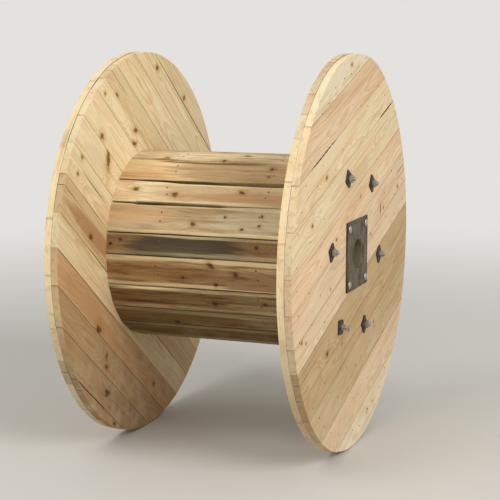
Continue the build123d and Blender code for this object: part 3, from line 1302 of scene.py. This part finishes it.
def stave_nail_spots(choice):
    """Two nails through each stave into each former."""
    spots = []
    formers = [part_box(node) for node in ("left_former_planks", "right_former_planks")]
    for number in stave_numbers:
        corners, outward, round_way = stave_frame(number)
        outer, half = float((corners @ outward).max()), float((corners @ round_way).max())
        for low, high in formers:
            for share in stave_nail_shares:
                across = (share + choice.uniform(-0.08, 0.08)) * half
                x = (low.x + high.x) / 2 + choice.uniform(-7, 7) * MM
                point = Vector(outward * outer + round_way * across) + Vector((x, 0, 0))
                spots.append((point, Vector(outward)))
    return spots


pine = made_material(sawn_pine)
plate_steel = made_material(hot_rolled_steel)
washer_steel = made_material(black_oxide_steel)
bright_steel = made_material(zinc_plated_steel)
nail_wire = made_material(wire_nail_steel)
inner_pine = made_material(former_pine)

for layer in plank_angles:
    new_piece(layer.replace("planks", "boards"), flange_layer(layer, chooser), pine, "flange_pine", layer)
joints = {}
for number in stave_numbers:
    stops = joint_openings.get(number)
    if stops is None:
        stops = [(x, chooser.uniform(0.8, 9)) for x in (-380, -180, 20, 200, 380)]
    joints[number] = stave_joint(stops, chooser.uniform(0, 100))
for number in stave_numbers:
    before = joints[number - 1 if number > 1 else stave_numbers[-1]]
    mesh = stave(number, (before, joints[number]), chooser)
    new_piece(f"barrel_stave_{number:02d}", mesh, pine, "stave_pine", f"stave_{number:02d}")
for side, hand in ((1, "right"), (-1, "left")):
    for name, node, shaped, material, slot in (
        ("hub", "hub_plate", hub_plate, plate_steel, "hub_steel"),
        ("plate_washers", "washers", rod_washers, washer_steel, "washer_steel"),
        ("rod_nuts", "tie_nuts", rod_nuts, bright_steel, "zinc_steel"),
        ("bolts", "hub_bolts", hub_bolts, bright_steel, "zinc_steel"),
        ("bolt_nuts", "hub_nuts", bolt_nuts, bright_steel, "zinc_steel"),
    ):
        packed = f"{hand}_{node}"
        new_piece(f"{hand}_{name}", shaped(packed, side), material, slot, packed)
    heads = nails(f"{hand}_nails", flange_nail_spots(side, chooser))
    new_piece(f"{hand}_flange_nails", heads, nail_wire, "washer_steel")
    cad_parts[f"{hand}_former_planks"].data.materials.clear()
    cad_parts[f"{hand}_former_planks"].data.materials.append(inner_pine)
for number in rod_numbers:
    rod = f"tie_rod_{number}"
    new_piece(f"threaded_rod_{number}", tie_rod(rod), bright_steel, "zinc_steel", rod)
new_piece("stave_nails", nails("stave_nails", stave_nail_spots(chooser)), nail_wire, "washer_steel")

# Studio: a pale floor that runs out into a pale background, and soft lamps

background_code = "#e4e2de"
floor_radius = 200
fade_start = 1.5
fade_end = 6.0


def looking_ray(tree):
    """1 for a ray from the camera, straight or by way of gloss or glass, and 0 for one that lights."""
    path = add_node(tree, "ShaderNodeLightPath").outputs
    mirrored = add_node(
        tree,
        "ShaderNodeMath",
        {0: path["Is Glossy Ray"], 1: path["Is Transmission Ray"]},
        operation="MAXIMUM",
    )
    return add_node(tree, "ShaderNodeMath", {0: path["Is Camera Ray"], 1: mirrored}, operation="MAXIMUM")


def studio_floor(tree, place):
    """A pale, even floor, whose far part looks as bright as the background."""
    shader = add_node(tree, "ShaderNodeBsdfPrincipled", {"Base Color": "#cfccc6", "Roughness": 0.9})
    away = add_node(tree, "ShaderNodeVectorMath", {0: place}, operation="LENGTH")
    fade = add_node(
        tree,
        "ShaderNodeMapRange",
        {"Value": away, "From Min": fade_start, "From Max": fade_end},
        interpolation_type="SMOOTHSTEP",
    )
    glow = add_node(tree, "ShaderNodeEmission", {"Color": background_code})
    seen = add_node(tree, "ShaderNodeMath", {0: fade, 1: looking_ray(tree)}, operation="MULTIPLY")
    return add_node(tree, "ShaderNodeMixShader", {0: seen, 1: shader, 2: glow})


def lay_floor():
    """The floor under the drum's rims, which isn't part of the object."""
    shape = bmesh.new()
    bmesh.ops.create_circle(shape, cap_ends=True, segments=64, radius=floor_radius)
    floor = bpy.data.objects.new("studio_floor", finished_mesh("studio_floor", shape))
    floor.location.z = floor_height
    floor.data.materials.append(made_material(studio_floor))
    bpy.context.scene.collection.objects.link(floor)


def studio_world():
    """Light from all round, and the background that the camera sees."""
    world = bpy.data.worlds.new("studio")
    world.use_nodes = True
    tree = world.node_tree
    tree.nodes.clear()
    around = add_node(tree, "ShaderNodeBackground", {"Color": "#f1f1ef", "Strength": 0.6})
    seen = add_node(tree, "ShaderNodeBackground", {"Color": background_code})
    both = add_node(tree, "ShaderNodeMixShader", {0: looking_ray(tree), 1: around, 2: seen})
    add_node(tree, "ShaderNodeOutputWorld", {"Surface": both})
    bpy.context.scene.world = world


def lamp(name, place, size, power):
    """A large soft lamp, aimed at the drum."""
    light = bpy.data.lights.new(name, "AREA")
    light.shape = "DISK"
    light.size = size
    light.energy = power
    made = bpy.data.objects.new(name, light)
    made.location = place
    made.rotation_euler = (-Vector(place)).to_track_quat("-Z", "Y").to_euler()
    bpy.context.scene.collection.objects.link(made)


def camera(place, aim, focal_length):
    """The camera, at the place that the photograph was taken from."""
    lens = bpy.data.cameras.new("camera")
    lens.lens = focal_length
    lens.sensor_width = 36
    made = bpy.data.objects.new("camera", lens)
    made.location = place
    made.rotation_euler = (Vector(aim) - Vector(place)).to_track_quat("-Z", "Y").to_euler()
    bpy.context.scene.collection.objects.link(made)
    bpy.context.scene.camera = made


lay_floor()
studio_world()
lamp("key", (-1.5, -4.5, 5.5), size=4.0, power=161)
lamp("side", (8.3, -5.3, 6.0), size=6.0, power=695)
camera((1.857, -4.841, 0.795), aim=(0.03, 0.0, -0.01), focal_length=104)
bpy.context.scene.view_settings.view_transform = "Standard"
